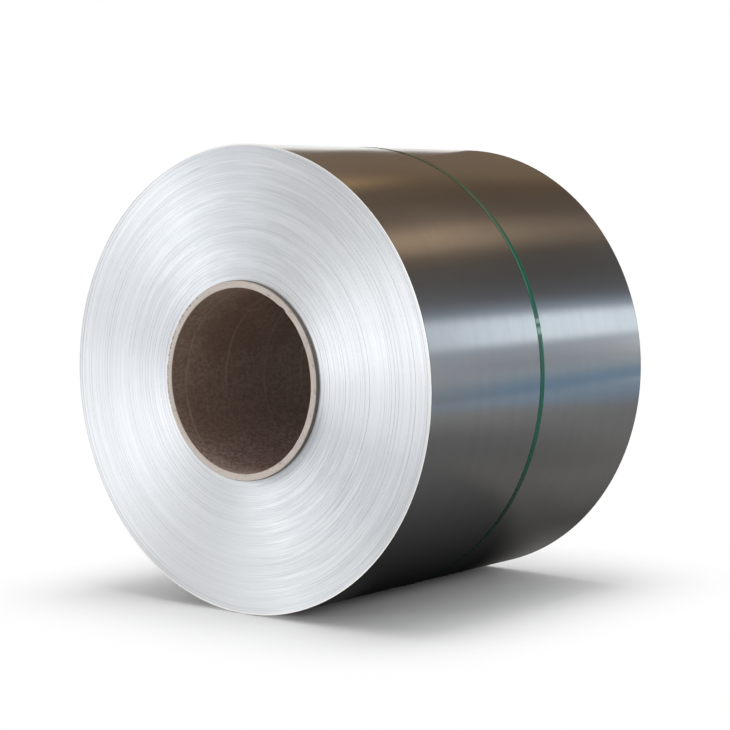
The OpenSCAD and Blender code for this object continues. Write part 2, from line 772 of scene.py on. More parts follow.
@dataclass
class ProfilePoint:
    """A corner of a turned section: radius, place along the axis, and the part that starts there."""

    r: float
    y: float
    part: Part


def face_outwards(piece: bpy.types.Object) -> None:
    """Turns all of a closed mesh's faces outwards.

    Args:
        piece: the mesh object.
    """
    mesh = bmesh.new()
    mesh.from_mesh(piece.data)
    bmesh.ops.recalc_face_normals(mesh, faces=mesh.faces)
    mesh.to_mesh(piece.data)
    mesh.free()


def settle(piece: bpy.types.Object, node: str) -> None:
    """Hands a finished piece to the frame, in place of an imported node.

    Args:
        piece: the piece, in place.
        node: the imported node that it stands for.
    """
    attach(piece, "root")
    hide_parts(node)
    triangles = sum(len(face.vertices) - 2 for face in piece.data.polygons)
    log.info("%s: %d triangles", piece.name, triangles)


# -- Wound strip ---------------------------------------------


class Tree(NodeWriter):
    """Writes one Geometry Nodes tree, for a shape that is turned round the coil's axis."""

    def __init__(self, name: str, inputs: dict[str, tuple[str, object]]) -> None:
        """Starts the tree with its inputs by name, each as a socket type, such as Float, and a value.

        Args:
            name: the tree's name.
            inputs: each input's socket type, such as Float, and its value, by its name.
        """
        self.tree = bpy.data.node_groups.new(name, "GeometryNodeTree")
        sockets = self.tree.interface
        sockets.new_socket("Geometry", in_out="OUTPUT", socket_type="NodeSocketGeometry")
        self.values: dict[str, object] = {}
        for label, (kind, value) in inputs.items():
            made = sockets.new_socket(label, in_out="INPUT", socket_type="NodeSocket" + kind)
            self.values[made.identifier] = value
        self.source = self.tree.nodes.new("NodeGroupInput")

    def __getitem__(self, label: str) -> Wire:
        """One of the tree's inputs, by its name."""
        return Wire(self.tree, self.source.outputs[label])

    def choose(self, test: Wire, when_false: Number, when_true: Number) -> Wire:
        """One of two numbers, by a test."""
        made = self.node("GeometryNodeSwitch", {"input_type": "FLOAT"})
        return self.out(self.fill(made, {0: test, 1: when_false, 2: when_true}))

    def grid(self, rows: Wire, columns: Wire) -> tuple[Wire, Wire, Wire]:
        """A flat grid, with the row and the column that each of its corners is in.

        Args:
            rows: how many rows of corners it has.
            columns: how many corners each row has.

        Returns:
            The grid, and the row and the column.
        """
        made = self.node(
            "GeometryNodeMeshGrid", Size_X=1.0, Size_Y=1.0, Vertices_X=rows, Vertices_Y=columns
        )
        index = self.out(self.node("GeometryNodeInputIndex"))
        row = (index / columns).math("FLOOR")
        return self.out(made, "Mesh"), row, index - row * columns

    def turned(self, grid: Wire, radius: Wire, along: Wire, angle: Wire, weld: float) -> Wire:
        """Bends a grid round the axis and joins its corners that come within the weld distance.

        Args:
            grid: the flat grid.
            radius: each corner's distance from the axis.
            along: each corner's place along Y.
            angle: each corner's angle round the axis.
            weld: the distance within which corners are joined.

        Returns:
            The bent and joined shape.
        """
        place = self.node(
            "ShaderNodeCombineXYZ",
            X=radius * angle.math("COSINE"),
            Y=along,
            Z=radius * angle.math("SINE") + self["Axis height"],
        )
        moved = self.node("GeometryNodeSetPosition", Geometry=grid, Position=self.out(place))
        joined = self.node("GeometryNodeMergeByDistance", Geometry=self.out(moved), Distance=weld)
        return self.out(joined)

    def run(self, name: str, geometry: Wire) -> bpy.types.Object:
        """Ends the tree and turns its result into a plain mesh.

        Args:
            name: the finished object's name.
            geometry: the wire that holds the finished shape.

        Returns:
            A mesh object at the origin with no modifier on it.
        """
        solid = self.node("GeometryNodeRealizeInstances", Geometry=geometry)
        result = self.tree.nodes.new("NodeGroupOutput")
        self.tree.links.new(solid.outputs[0], result.inputs[0])
        carrier = mesh_object(name + "_carrier", [], [])
        modifier = carrier.modifiers.new("shape", "NODES")
        modifier.node_group = self.tree
        for identifier, value in self.values.items():
            modifier[identifier] = value
        view = carrier.evaluated_get(bpy.context.evaluated_depsgraph_get())
        mesh = bpy.data.meshes.new_from_object(view)
        mesh.name = name
        bpy.data.objects.remove(carrier)
        made = bpy.data.objects.new(name, mesh)
        bpy.context.scene.collection.objects.link(made)
        return made


@dataclass
class WoundStrip:
    """The strip wound on its core: one closed turned shape, with its turns showing at both ends."""

    sizes: CoilSizes
    turn_rings: int = 96
    drift: float = 0.0004
    around: int = 160
    wrap_rows: int = 8
    seed: int = 7
    weld: float = 1e-5
    crisp_deg: float = 40.0
    end_facing: float = 0.2

    def build(self) -> bpy.types.Object:
        """Turns the section by Geometry Nodes.

        The grid's rows run up the front end, over the wrap, down the back end and out through the bore.

        Returns:
            The plain mesh object.
        """
        s = self.sizes
        inputs = {
            "Turn rings": ("Int", self.turn_rings),
            "Segments": ("Int", self.around),
            "Wrap rows": ("Int", self.wrap_rows),
            "Inner radius": ("Float", s.core_r),
            "Outer radius": ("Float", s.coil_r),
            "Strip width": ("Float", s.strip_w),
            "Drift": ("Float", self.drift),
            "Axis height": ("Float", s.axis_z),
            "Seed": ("Int", self.seed),
            "Turn edges": ("Material", TurnEdgeFinish().make(s)),
            "Rolled face": ("Material", RolledFaceFinish().make(s)),
        }
        t = Tree("wound_strip_shape", inputs)
        end_rows = t["Turn rings"] * 2.0
        rows = end_rows * 2.0 + t["Wrap rows"] + 1.0
        grid, row, spoke = t.grid(rows, t["Segments"] + 1.0)
        radius, along = self.section(t, row.math("MODULO", rows - 1.0), end_rows)
        angle = spoke / t["Segments"] * math.tau
        shape = t.turned(grid, radius, along, angle, self.weld)
        return t.run("wound_strip_turns", self.finished(t, shape))

    def section(self, t: Tree, row: Wire, end_rows: Wire) -> tuple[Wire, Wire]:
        """The radius of a row of the grid, and its place along Y.

        Args:
            t: the tree to write it in.
            row: the row.
            end_rows: how many rows each end takes.

        Returns:
            The radius and the place along Y.
        """
        inner, outer, width, wraps = (
            t[name] for name in ("Inner radius", "Outer radius", "Strip width", "Wrap rows")
        )
        # Front rows count up from the core and back rows count down to it.
        at_back = row.math("GREATER_THAN", end_rows + wraps - 0.5)
        back_row = row * -1.0 + (end_rows * 2.0 + wraps - 1.0)
        on_end = t.choose(at_back, row, back_row)
        on_wrap = row.math("GREATER_THAN", end_rows - 0.5) * (at_back * -1.0 + 1.0)
        ring = (on_end / 2.0).math("FLOOR")
        step = on_end - ring * 2.0
        end_radius = inner + (outer - inner) * (ring + step) / t["Turn rings"]
        end_y = (at_back * 2.0 - 1.0) * width * 0.5 + self.stand_out(t, ring)
        wrap_share = (row - end_rows + 0.5) / wraps
        radius = t.choose(on_wrap, end_radius, outer)
        return radius, t.choose(on_wrap, end_y, width * (wrap_share - 0.5))

    def stand_out(self, t: Tree, ring: Wire) -> Wire:
        """How far each ring of turns stands out along Y.

        Args:
            t: the tree to write it in.
            ring: the ring, counted from the core.

        Returns:
            The shift along Y.
        """
        shift = t.node("FunctionNodeRandomValue", {"data_type": "FLOAT"})
        t.fill(shift, {2: t["Drift"] * -1.0, 3: t["Drift"], 7: ring, 8: t["Seed"]})
        # The outermost turns lie flush, so that the wrap starts at a clean edge.
        inside = (ring * -1.0 + (t["Turn rings"] - 1.5)).math("GREATER_THAN", 0.0)
        return t.out(shift, 1) * inside

    def finished(self, t: Tree, shape: Wire) -> Wire:
        """Smooths the shape, with crisp folds, and gives its ends and its wrap their finishes.

        Args:
            t: the tree to write it in.
            shape: the bare shape.

        Returns:
            The finished shape.
        """
        fold = t.out(t.node("GeometryNodeInputMeshEdgeAngle"))
        smooth = t.node("GeometryNodeSetShadeSmooth", Geometry=shape)
        creased = t.node(
            "GeometryNodeSetShadeSmooth",
            {"domain": "EDGE"},
            Geometry=t.out(smooth),
            Selection=fold.math("GREATER_THAN", math.radians(self.crisp_deg)),
            Shade_Smooth=False,
        )
        facing = t.node("ShaderNodeSeparateXYZ", Vector=t.out(t.node("GeometryNodeInputNormal")))
        shiny = t.node("GeometryNodeSetMaterial", Geometry=t.out(creased), Material=t["Rolled face"])
        ended = t.node(
            "GeometryNodeSetMaterial",
            Geometry=t.out(shiny),
            Selection=t.out(facing, "Y").math("ABSOLUTE").math("GREATER_THAN", self.end_facing),
            Material=t["Turn edges"],
        )
        return t.out(ended)

    def dress(self) -> None:
        """Builds the piece and hands it to the frame."""
        settle(self.build(), "wound_strip")


# -- Paper core ----------------------------------------------


@dataclass(frozen=True)
class Chip:
    """A place where the tube's sawn edge has been knocked in."""

    at_deg: float
    width_deg: float
    depth: float
    outer: bool = True


@dataclass
class PaperCore:
    """The spiral-wound paper tube: it stands a little proud of the strip, and its edges are worn."""

    sizes: CoilSizes
    inner_round: float = 0.002
    outer_round: float = 0.0048
    outer_ply: float = 0.65
    edge_steps: int = 6
    around: int = 480
    wall_rows: int = 5
    wear: float = 0.0005
    # How far the wear reaches from the end and from the edges, as shares of the outer rounding.
    end_reach: float = 1.2
    edge_reach: float = 1.4
    inward_share: float = 0.6
    # How fast the roughness of the wear changes round the tube, across its wall and in its finer layer.
    rough_around: float = 9.0
    rough_per_m: float = 90.0
    finer: float = 3.1
    chips: tuple[Chip, ...] = (
        Chip(at_deg=147.0, width_deg=1.4, depth=0.0028),
        Chip(at_deg=153.0, width_deg=1.2, depth=0.0030),
        Chip(at_deg=159.0, width_deg=1.8, depth=0.0034),
        Chip(at_deg=171.0, width_deg=2.6, depth=0.0036),
        Chip(at_deg=180.5, width_deg=1.5, depth=0.0018),
        Chip(at_deg=188.0, width_deg=1.2, depth=0.0012, outer=False),
        Chip(at_deg=211.0, width_deg=1.6, depth=0.0026, outer=False),
        Chip(at_deg=52.0, width_deg=3.0, depth=0.0034, outer=False),
        Chip(at_deg=8.0, width_deg=1.6, depth=0.0016),
        Chip(at_deg=318.0, width_deg=1.4, depth=0.0010, outer=False),
        Chip(at_deg=74.0, width_deg=1.1, depth=0.0008),
    )

    def profile(self) -> list[ProfilePoint]:
        """The wall's section, from the front end over the outside to the back end and the bore.

        Returns:
            The section's corners in order.
        """
        s, half, small, big = self.sizes, self.sizes.core_l / 2, self.inner_round, self.outer_round
        corners = (
            (s.bore_r + small, -half + small, small, 180, Part.FRONT),
            (s.core_r - big, -half + big, big, 270, Part.OUTSIDE),
            (s.core_r - big, half - big, big, 0, Part.BACK),
            (s.bore_r + small, half - small, small, 90, Part.INSIDE),
        )
        points: list[ProfilePoint] = []
        for place, (r, y, round_r, start, part) in enumerate(corners):
            for step in range(self.edge_steps + 1):
                turn = math.radians(start + 90 * step / self.edge_steps)
                owner = part
                if step < self.edge_steps:
                    facing = math.cos(math.radians(start + 90 * (step + 0.5) / self.edge_steps))
                    end = Part.FRONT if y < 0 else Part.BACK
                    owner = Part.OUTSIDE if facing > self.outer_ply else end
                at_r, at_y = r + round_r * math.cos(turn), y + round_r * math.sin(turn)
                points.append(ProfilePoint(at_r, at_y, owner))
            last, after = points[-1], corners[(place + 1) % len(corners)]
            for row in range(1, self.wall_rows):
                share = row / self.wall_rows
                if part in (Part.OUTSIDE, Part.INSIDE):
                    points.append(ProfilePoint(last.r, last.y + (after[1] - last.y) * share, part))
                else:
                    points.append(ProfilePoint(last.r + (after[0] - last.r) * share, last.y, part))
        return points

    def worn(self, point: ProfilePoint, angle: float) -> tuple[float, float]:
        """Where a section's corner really lies at one angle, with the wear of the tube's ends.

        Args:
            point: the section's corner.
            angle: the angle round the axis.

        Returns:
            The radius and the place along the axis.
        """
        s, half = self.sizes, self.sizes.core_l / 2
        at_end = max(0.0, 1.0 - (half - abs(point.y)) / (self.end_reach * self.outer_round))
        side = 1.0 if point.y > 0 else -1.0
        outer = point.r > (s.bore_r + s.core_r) / 2
        right, up = math.cos(angle) * self.rough_around, math.sin(angle) * self.rough_around
        where = Vector((right, up, point.r * self.rough_per_m + side * 5.0))
        rough = noise.noise(where) + 0.5 * noise.noise(where * self.finer)
        depth = self.wear * at_end * (0.5 + rough)
        from_edge = min(point.r - s.bore_r, s.core_r - point.r)
        near_edge = max(0.0, 1.0 - from_edge / (self.edge_reach * self.outer_round))
        for chip in self.chips:
            off = (math.degrees(angle) * side * -1.0 - chip.at_deg + 180.0) % 360.0 - 180.0
            reach = max(0.0, 1.0 - (off / chip.width_deg) ** 2)
            if outer == chip.outer:
                depth += chip.depth * reach * near_edge * at_end
        inward = (-1.0 if outer else 1.0) * depth * self.inward_share * near_edge
        return point.r + inward, point.y - side * max(0.0, depth)

    def build(self) -> bpy.types.Object:
        """Turns the section round the axis.

        Returns:
            The mesh object.
        """
        profile = self.profile()
        count = len(profile)
        points, faces, parts = [], [], []
        for spoke in range(self.around):
            angle = math.tau * spoke / self.around
            for corner in profile:
                r, y = self.worn(corner, angle)
                points.append(Vector((r * math.cos(angle), y, self.sizes.axis_z + r * math.sin(angle))))
        for spoke in range(self.around):
            here, there = spoke * count, (spoke + 1) % self.around * count
            for place in range(count):
                after = (place + 1) % count
                faces.append((here + place, there + place, there + after, here + after))
                parts.append(profile[place].part)
        piece = mesh_object("paper_core_tube", points, faces)
        for face, part in zip(piece.data.polygons, parts):
            face.material_index = part.value
            face.use_smooth = True
        face_outwards(piece)
        return piece

    def dress(self) -> None:
        """Builds the tube, gives it its finishes and hands it to the frame."""
        piece = self.build()
        cut = CutPaperFinish().make(self.sizes)
        outside = KraftFinish(
            "kraft_outside",
            (0.24, 0.22, 0.20),
            (0.15, 0.135, 0.12),
            (0.30, 0.27, 0.25),
            (0.20, 0.18, 0.16),
            # Painted shade towards the lower right of the outside.
            one_side_colour=(0.075, 0.066, 0.058),
            one_side_at_deg=-45.0,
        )
        inside = KraftFinish(
            "kraft_bore",
            (0.300, 0.205, 0.150),
            (0.125, 0.082, 0.058),
            (0.38, 0.28, 0.23),
            (0.155, 0.092, 0.058),
            # The bore is lighter towards its bottom.
            one_side_colour=(0.66, 0.49, 0.43),
            one_side_at_deg=-75.0,
        )
        for finish in (cut, outside.make(self.sizes), cut, inside.make(self.sizes)):
            piece.data.materials.append(finish)
        settle(piece, "paper_core")


# -- Girth strap ---------------------------------------------


@dataclass
class GirthStrap:
    """The plastic strap round the girth, with its ends lapped and welded."""

    sizes: CoilSizes
    path: StrapPath = field(default_factory=StrapPath)
    around: int = 360
    lap_steps: int = 24
    section_points: int = 20
    squareness: float = 0.22
    weld: float = 1e-6

    def build(self) -> bpy.types.Object:
        """Sweeps the strap's section round the coil: one full ring, and the lap on it.

        Returns:
            The plain mesh object.
        """
        inputs = {
            "Coil radius": ("Float", self.sizes.coil_r),
            "Thickness": ("Float", self.sizes.strap_t),
            "Width": ("Float", self.path.width),
            "Lean": ("Float", math.radians(self.path.lean_deg)),
            "Forward": ("Float", self.path.forward),
            "Axis height": ("Float", self.sizes.axis_z),
            "Section points": ("Int", self.section_points),
            "Ring lengths": ("Int", self.around),
            "Lap lengths": ("Int", self.lap_steps),
            "Weld angle": ("Float", math.radians(self.path.weld_at_deg)),
            "Weld length": ("Float", self.path.weld_l),
            "Finish": ("Material", StrapFinish().make(self.sizes, self.path)),
        }
        t = Tree("girth_strap_shape", inputs)
        ring = self.layer(t, t["Ring lengths"], math.tau)
        lap = self.layer(t, t["Lap lengths"], t["Weld length"] / t["Coil radius"], on_top=True)
        both = t.node("GeometryNodeJoinGeometry")
        for layer in (lap, ring):
            t.tree.links.new(layer.socket, both.inputs[0])
        smooth = t.node("GeometryNodeSetShadeSmooth", Geometry=t.out(both))
        dressed = t.node("GeometryNodeSetMaterial", Geometry=t.out(smooth), Material=t["Finish"])
        return t.run("girth_strap_band", t.out(dressed))

    def layer(self, t: Tree, steps: Wire, sweep: Number, on_top: bool = False) -> Wire:
        """One layer of the strap, bent round the coil from the weld on.

        A layer on top of the first comes down to it within its first and last lengths.

        Args:
            t: the tree to write it in.
            steps: how many lengths it is made of.
            sweep: the angle that it covers.
            on_top: whether it lies on the first layer.

        Returns:
            The layer's geometry.
        """
        grid, row, column = t.grid(t["Section points"] + 1.0, steps + 1.0)
        share = column / steps
        around = row / t["Section points"] * math.tau
        across, up = (self.squared(around.math(name)) for name in ("COSINE", "SINE"))
        rise = t["Thickness"] * 0.5 * (up + 1.0)
        if on_top:
            from_end = share.math("MINIMUM", share * -1.0 + 1.0)
            rise = rise * (from_end * steps).math("MINIMUM", 1.0) + t["Thickness"]
        angle = share * sweep + t["Weld angle"]
        middle = angle.math("SINE") * t["Coil radius"] * t["Lean"].math("TANGENT") - t["Forward"]
        along = middle - across * t["Width"] * 0.5
        return t.turned(grid, t["Coil radius"] + rise, along, angle, self.weld)

    def squared(self, wave: Wire) -> Wire:
        """A sine or cosine pressed towards a square wave, which turns an ellipse into a rounded bar."""
        return wave.math("SIGN") * wave.math("ABSOLUTE").math("POWER", self.squareness)

    def dress(self) -> None:
        """Builds the strap and hands it to the frame."""
        settle(self.build(), "girth_strap")


# -- Stage ---------------------------------------------------


@dataclass(frozen=True)
class SoftLamp:
    """A square soft lamp that looks at the coil."""

    name: str
    place: Place
    watts: float
    size: float = 2.0

    def make(self, target: Vector) -> None:
        """Adds the lamp, turned towards the target.

        Args:
            target: the point that it looks at.
        """
        data = bpy.data.lights.new(self.name, "AREA")
        data.energy, data.size = self.watts, self.size
        lamp = bpy.data.objects.new(self.name, data)
        lamp.location = self.place
        lamp.rotation_euler = (target - lamp.location).to_track_quat("-Z", "Y").to_euler()
        lamp.visible_camera = False
        bpy.context.scene.collection.objects.link(lamp)


@dataclass(frozen=True)
class FloorPatch:
    """A lighter patch of the floor card: the spans along Y and out along X in which it grows."""

    along: Span
    away: Spans
    tone: float


@dataclass
class Studio:
    """The floor, the lamps and the cards that the polished metal reflects."""

    sizes: CoilSizes
    room_light: float = 0.52
    lamps: tuple[SoftLamp, ...] = (
        SoftLamp("front_lamp", (-1.95, -5.5, 0.82), 40.5, size=0.5),
        SoftLamp("key_lamp", (-4.6, -2.9, 2.3), 61.0),
        SoftLamp("back_lamp", (2.1, 5.5, 0.82), 24.0, size=0.5),
        SoftLamp("back_left_lamp", (-2.1, 5.5, 0.82), 34.0, size=0.5),
        SoftLamp("side_lamp", (5.0, 1.2, 2.2), 55.0),
        SoftLamp("top_lamp", (0.0, 0.0, 6.2), 130.0, size=3.0),
    )
    arch_r: float = 3.0
    arch_half: float = 6.0
    arch_steps: int = 68
    # Angle over the coil from the right, and the light that the arch shows there near and far along Y.
    arch_tones: tuple[tuple[float, Colour, Colour], ...] = (
        (-12.0, (0.25, 0.25, 0.25), (0.150, 0.265, 0.39)),
        (-8.0, (0.29, 0.31, 0.325), (0.170, 0.285, 0.41)),
        (-3.0, (0.37, 0.38, 0.395), (0.32, 0.38, 0.435)),
        (3.0, (0.38, 0.40, 0.44), (0.22, 0.245, 0.28)),
        (10.0, (0.33, 0.37, 0.42), (0.31, 0.355, 0.41)),
        (13.5, (0.53, 0.61, 0.68), (1.00, 1.12, 1.22)),
        (23.0, (0.58, 0.66, 0.74), (1.03, 1.15, 1.26)),
        (27.0, (0.21, 0.235, 0.27), (0.29, 0.355, 0.43)),
        (33.0, (0.145, 0.145, 0.155), (0.112, 0.118, 0.130)),
        (42.0, (0.118, 0.112, 0.108), (0.085, 0.082, 0.078)),
        (50.0, (0.130, 0.112, 0.098), (0.100, 0.083, 0.068)),
        (57.0, (0.270, 0.200, 0.145), (0.195, 0.150, 0.108)),
        (61.0, (0.550, 0.405, 0.280), (0.228, 0.170, 0.125)),
        (65.0, (0.740, 0.540, 0.365), (0.195, 0.146, 0.108)),
        (69.0, (0.760, 0.555, 0.370), (0.160, 0.118, 0.086)),
        (72.5, (0.540, 0.400, 0.280), (0.112, 0.083, 0.062)),
        (76.0, (0.350, 0.265, 0.195), (0.115, 0.086, 0.063)),
        (81.0, (0.240, 0.182, 0.136), (0.122, 0.089, 0.063)),
        (89.0, (0.150, 0.110, 0.078), (0.115, 0.082, 0.054)),
        (98.0, (0.150, 0.108, 0.074), (0.140, 0.098, 0.060)),
        (105.5, (0.480, 0.305, 0.155), (0.130, 0.090, 0.055)),
        (111.0, (0.260, 0.178, 0.115), (0.185, 0.127, 0.077)),
        (115.5, (0.230, 0.160, 0.110), (0.225, 0.153, 0.092)),
        (121.0, (0.210, 0.150, 0.105), (0.200, 0.142, 0.094)),
        (142.0, (0.210, 0.160, 0.120), (0.180, 0.132, 0.095)),
        (144.5, (1.18, 1.18, 1.17), (1.20, 1.19, 1.16)),
        (184.0, (1.15, 1.15, 1.15), (1.20, 1.20, 1.20)),
        (190.0, (0.42, 0.42, 0.42), (0.42, 0.42, 0.42)),
        (192.0, (0.34, 0.34, 0.34), (0.34, 0.34, 0.34)),
    )
    # Where along Y the near tones end and the far ones begin, and how far the bands slant there.
    far_along: Span = (2.85, 3.45)
    overhead_nearer: float = 0.22
    beside_nearer: float = 0.25
    slant_span: Span = (2.5, 3.8)
    slant_from: float = 3.0
    slant_deg: float = 11.0
    back_slant_from: float = 3.5
    back_slant_deg: float = 19.0
    middle_along: Span = (2.95, 3.45)
    middle_deg: float = 3.8
    corner_along: Span = (4.05, 4.75)
    corner_deg: float = 21.0
    # The angles over the coil between which each stretch of the arch fades in, and then out.
    slanted: Spans = ((35.0, 60.0), (136.0, 118.0))
    back_slanted: Spans = ((98.0, 110.0), (136.0, 118.0))
    cornered: Spans = ((118.0, 136.0),)
    overhead: Spans = ((80.0, 100.0),)
    beside: Spans = ((45.0, 30.0),)
    near_patch: Spans = ((46.0, 54.0), (86.0, 74.0))
    near_patch_along: Span = (3.02, 2.76)
    near_patch_tone: float = -0.40
    far_patch: Spans = ((56.0, 64.0), (86.0, 78.0))
    far_patch_along: tuple[Span, Span] = ((3.1, 3.3), (3.95, 3.75))
    far_patch_tone: float = 0.30
    # How much of its light the arch keeps at the front and before the middle, and where that changes.
    front_share: float = 0.60
    front_along: Span = (-5.2, -2.6)
    fore_share: float = 0.85
    fore_along: Span = (-2.0, 0.0)
    card_half_x: float = 3.0
    card_half_y: float = 4.5
    card_z: float = 0.003
    # The floor card's tones: two distances from the middle along X, and the tones at them.
    near_tones: Tones = (0.16, 1.1, 0.004, 0.135)
    rear_tones: Tones = (0.20, 0.80, 0.045, 0.150)
    outer_tones: Tones = (1.0, 2.8, 0.0, 0.09)
    # What is added behind the middle of the coil, and under its front half.
    rear_patches: tuple[FloorPatch, ...] = (
        FloorPatch((0.40, 0.66), ((0.45, 0.20),), 0.11),
        FloorPatch((0.75, 1.6), ((0.5, 1.0),), 0.06),
        FloorPatch((0.55, 0.80), ((0.38, 0.52), (0.85, 0.65)), 0.03),
    )
    fore_patches: tuple[FloorPatch, ...] = (FloorPatch((-0.18, -0.34), ((0.45, 0.25),), 0.016),)
    warm_tint: Colour = (1.02, 1.0, 0.95)
    cool_tint: Colour = (0.9, 1.18, 1.5)
    end_card_tone: float = 0.62
    end_card_span: Span = (0.9, 2.0)
    end_card_inset: float = 0.05
    back_card_tone: float = 0.70
    floor_colour: Colour = (0.97, 0.97, 0.97)
    floor_r: float = 60.0
    floor_sides: int = 96
    shadow_half: tuple[float, float] = (0.40, 0.5)
    shadow_reach: float = 0.60

    def card(
        self, name: str, points: list[Vector], faces: list[tuple[int, ...]], light: bpy.types.Material
    ) -> None:
        """Args:
            name: the card's name.
            points: its corners.
            faces: the corner numbers of each face.
            light: the material that gives it its light.
        """
        card = mesh_object(name, points, faces)
        card.data.materials.append(light)
        card.visible_camera = card.visible_diffuse = card.visible_shadow = False
        card.visible_transmission = card.visible_volume_scatter = False

    def tone_ramp(self, m: Shade, share: Wire, which: int) -> Wire:
        """The arch's colours by the share of the way round it, near along Y (1) or far along it (2).

        Args:
            m: the card's material.
            share: the place round the arch, from 0 to 1.
            which: 1 for the tones near the coil, 2 for those far along it.

        Returns:
            The colour.
        """
        first, last = self.arch_tones[0][0], self.arch_tones[-1][0]
        ramp = m.node("ShaderNodeValToRGB", Fac=share)
        elements = ramp.color_ramp.elements
        while len(elements) < len(self.arch_tones):
            elements.new(0.5)
        for element, tone in zip(elements, self.arch_tones):
            element.position = (tone[0] - first) / (last - first)
            element.color = (*tone[which], 1.0)
        return m.out(ramp)

    def arch_light(self, m: Shade) -> Wire:
        """The arch's light: bands of tone that slant, bend and change far along Y.

        Args:
            m: the card's material.

        Returns:
            The colour of the light.
        """
        first, last = self.arch_tones[0][0], self.arch_tones[-1][0]
        along = m.y.math("ABSOLUTE")
        turn = m.sin.math("ARCTAN2", m.cos) * (180 / math.pi) + 360.0 - first
        angle = turn.math("MODULO", 360.0)

        def between(spans: Spans) -> Wire:
            """1 at the angles of a stretch and 0 elsewhere."""
            shares = [angle.ramp(low - first, high - first) for low, high in spans]
            return shares[0] if len(shares) == 1 else shares[0] * shares[1]

        held = along.math("MAXIMUM", self.slant_span[0]).math("MINIMUM", self.slant_span[1])
        slant = (held - self.slant_from) * self.slant_deg * between(self.slanted)
        corner = along.ramp(*self.middle_along) * self.middle_deg
        corner = corner + along.ramp(*self.corner_along) * self.corner_deg
        share = angle - slant - corner * between(self.cornered)
        back_slant = slant + (held - self.back_slant_from) * self.back_slant_deg
        back_share = share + back_slant * between(self.back_slanted)
        near = self.tone_ramp(m, share / (last - first), 1)
        far = self.tone_ramp(m, back_share / (last - first), 2)
        nearer = between(self.overhead) * self.overhead_nearer
        nearer = nearer + between(self.beside) * self.beside_nearer
        tones = m.mix((along + nearer).ramp(*self.far_along), near, far)
        # The bright patch at the right is dimmer where it comes close, and trails off further along.
        patch = along.ramp(*self.near_patch_along) * between(self.near_patch) * self.near_patch_tone
        starts, ends = self.far_patch_along
        trail = along.ramp(*starts) * along.ramp(*ends)
        patch = patch + trail * between(self.far_patch) * self.far_patch_tone
        # The front half is dimmer, for the front end mirrors it.
        dim = m.y.ramp(*self.front_along, self.front_share, self.fore_share)
        dim = dim * m.y.ramp(*self.fore_along, 1.0, 1.0 / self.fore_share)
        return m.mix(1.0, tones, m.grey(dim * (patch + 1.0)), "MULTIPLY")

    def arch(self) -> None:
        """An arch of cards over the coil, parallel to its axis: what the outer wrap mirrors."""
        first, last = self.arch_tones[0][0], self.arch_tones[-1][0]
        m = Shade("arch_tones", self.sizes.axis_z)
        light = m.glow(self.arch_light(m))
        points, faces = [], []
        for step in range(self.arch_steps + 1):
            angle = math.radians(first + (last - first) * step / self.arch_steps)
            x, z = self.arch_r * math.cos(angle), self.sizes.axis_z + self.arch_r * math.sin(angle)
            points += [Vector((x, -self.arch_half, z)), Vector((x, self.arch_half, z))]
            if step:
                faces.append((2 * step - 2, 2 * step - 1, 2 * step + 1, 2 * step))
        self.card("reflected_arch", points, faces, light)

    def patched(self, m: Shade, tone: Wire, patches: tuple[FloorPatch, ...]) -> Wire:
        """A tone of the floor card, with its lighter patches.

        Args:
            m: the card's material.
            tone: the tone without them.
            patches: the lighter patches.

        Returns:
            The tone.
        """
        away = m.x.math("ABSOLUTE")
        for patch in patches:
            light = m.y.ramp(*patch.along)
            for span in patch.away:
                light = light * away.ramp(*span)
            tone = tone + light * patch.tone
        return tone

    def floor_card(self) -> None:
        """A dark card on the floor round the coil, for the underside of the outer wrap to mirror."""
        m = Shade("floor_card_tones", self.sizes.axis_z)
        away = m.x.math("ABSOLUTE")
        near = away.ramp(*self.near_tones)
        behind = self.patched(m, away.ramp(*self.rear_tones), self.rear_patches)
        dark = near + (behind - near) * m.y.ramp(0.30, 0.48) + away.ramp(*self.outer_tones)
        dark = self.patched(m, dark, self.fore_patches) + m.x.ramp(-0.9, -3.0) * 0.25
        tone = dark + (dark * -1.0 + 1.0) * self.pale_ahead(m)
        warm = m.y.ramp(0.25, 0.45) * away.ramp(1.2, 0.8)
        cool = m.y.math("ABSOLUTE").ramp(1.9, 2.5) * away.ramp(1.2, 2.2)
        colour = m.mix(warm, m.grey(tone), m.vector(*(tone * part for part in self.warm_tint)))
        colour = m.mix(cool, colour, m.vector(*(tone * part for part in self.cool_tint)))
        x, y, z = self.card_half_x, self.card_half_y, self.card_z
        corners = [Vector((-x, -y, z)), Vector((x, -y, z)), Vector((x, y, z)), Vector((-x, y, z))]
        self.card("reflected_floor_card", corners, [(0, 1, 2, 3)], m.glow(colour))

    def pale_ahead(self, m: Shade) -> Wire:
        """1 where the front end mirrors the floor card, so that only the wrap sees its dark part.

        Args:
            m: the card's material.

        Returns:
            The value.
        """
        ahead = (m.x.math("ABSOLUTE") - 0.12).math("MAXIMUM", 0.0) * -0.45 - m.y - 0.5
        sharp = ahead.ramp(-0.08, 0.04) * m.x.ramp(-0.9, -0.3)
        soft = ahead.ramp(-0.9, 0.6) * m.x.ramp(-0.3, -0.9)
        return (sharp + soft) * m.x.ramp(1.2, 0.8)

